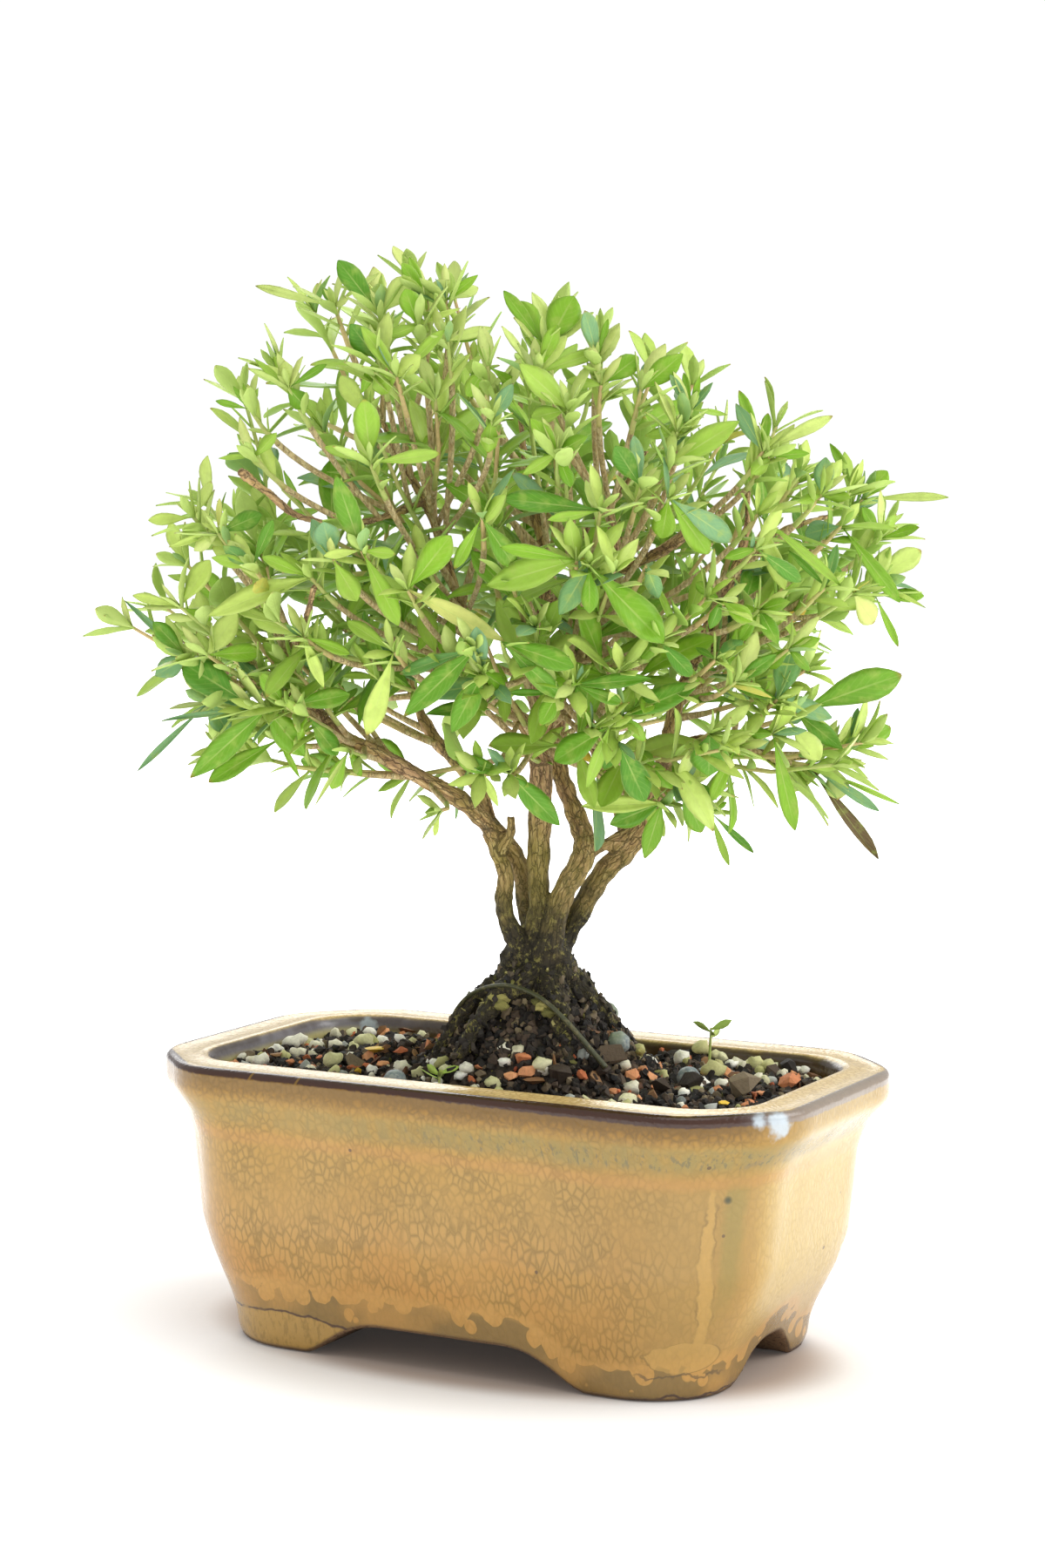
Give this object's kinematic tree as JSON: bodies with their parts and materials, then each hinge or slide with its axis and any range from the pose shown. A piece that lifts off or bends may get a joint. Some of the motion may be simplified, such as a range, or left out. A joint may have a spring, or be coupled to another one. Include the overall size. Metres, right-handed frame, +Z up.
{
  "type": "potted serissa bonsai",
  "caption": "Small-leaved flowering-shrub bonsai with several stems and a broad crown, rooted on a soil mound in a low glazed rectangular pot with cut corners and wave-cut feet.",
  "frame": {"origin": "on the surface that the feet stand on, under the middle of the bounding box of tree and pot", "axes": "+Z up, +X along the pot's length, +Y across the pot from its front long side to its back one; the tree's own front is turned 28.6 degrees about +Z from -Y"},
  "size_m": [0.1566, 0.1482, 0.2351],
  "materials": {
    "glazed_pot": "gloss",
    "soil_mix": "matte",
    "bark": "matte",
    "foliage": "satin",
    "tie_wire": "satin",
    "pellet": "satin",
    "drain_mesh": "matte"
  },
  "bodies": {
    "root": {"drain_screen_1": "drain_mesh", "drain_screen_2": "drain_mesh", "pellet_1": "pellet", "pellet_2": "pellet", "pellet_3": "pellet", "pellet_4": "pellet", "pellet_5": "pellet", "pot": "glazed_pot", "seedling_1": "foliage", "seedling_2": "foliage", "shoot_01": "foliage", "shoot_02": "foliage", "shoot_03": "foliage", "shoot_04": "foliage", "shoot_05": "foliage", "shoot_06": "foliage", "shoot_07": "foliage", "shoot_08": "foliage", "shoot_09": "foliage", "shoot_10": "foliage", "shoot_11": "foliage", "shoot_12": "foliage", "shoot_13": "foliage", "shoot_14": "foliage", "shoot_15": "foliage", "shoot_16": "foliage", "shoot_17": "foliage", "shoot_18": "foliage", "shoot_19": "foliage", "shoot_20": "foliage", "shoot_21": "foliage", "shoot_22": "foliage", "shoot_23": "foliage", "shoot_24": "foliage", "shoot_25": "foliage", "shoot_26": "foliage", "shoot_27": "foliage", "shoot_28": "foliage", "shoot_29": "foliage", "shoot_30": "foliage", "shoot_31": "foliage", "shoot_32": "foliage", "shoot_33": "foliage", "shoot_34": "foliage", "shoot_35": "foliage", "shoot_36": "foliage", "shoot_37": "foliage", "shoot_38": "foliage", "shoot_39": "foliage", "shoot_40": "foliage", "shoot_41": "foliage", "shoot_42": "foliage", "shoot_43": "foliage", "shoot_44": "foliage", "shoot_45": "foliage", "shoot_46": "foliage", "soil": "soil_mix", "tie_wire": "tie_wire", "wood": "bark"}
  },
  "joints": []
}
